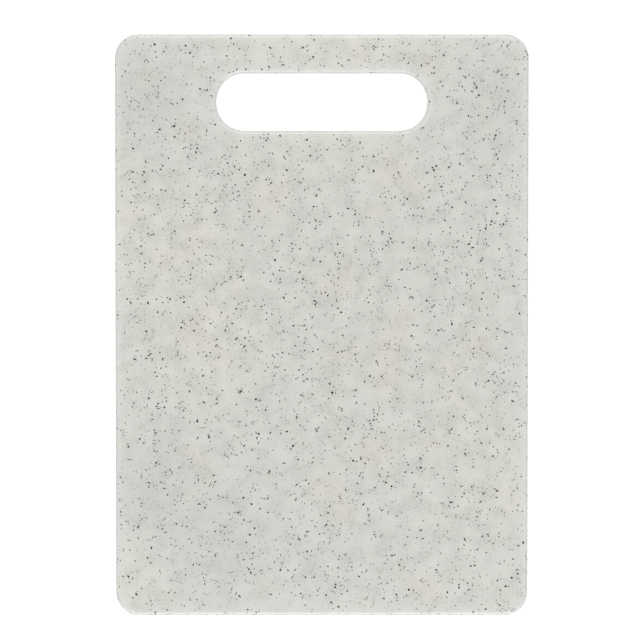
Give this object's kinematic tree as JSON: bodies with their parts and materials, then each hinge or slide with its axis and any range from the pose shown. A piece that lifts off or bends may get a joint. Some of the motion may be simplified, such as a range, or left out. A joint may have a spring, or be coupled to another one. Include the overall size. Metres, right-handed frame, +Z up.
{
  "type": "cutting board",
  "caption": "Flat plastic cutting board, a rounded rectangle in stone-speckled pale grey with a long finger slot through its handle end.",
  "frame": {"origin": "middle of the underside's outline, on the surface the board lies on", "axes": "+Z up out of the upper face, +Y along the board's length towards the handle slot, +X across its width"},
  "size_m": [0.254, 0.358, 0.009],
  "materials": {
    "speckled_plastic": "pale grey plastic with dark and grey stone flakes through it and a satin moulded face"
  },
  "bodies": {
    "root": {"board": "speckled_plastic"}
  },
  "joints": []
}
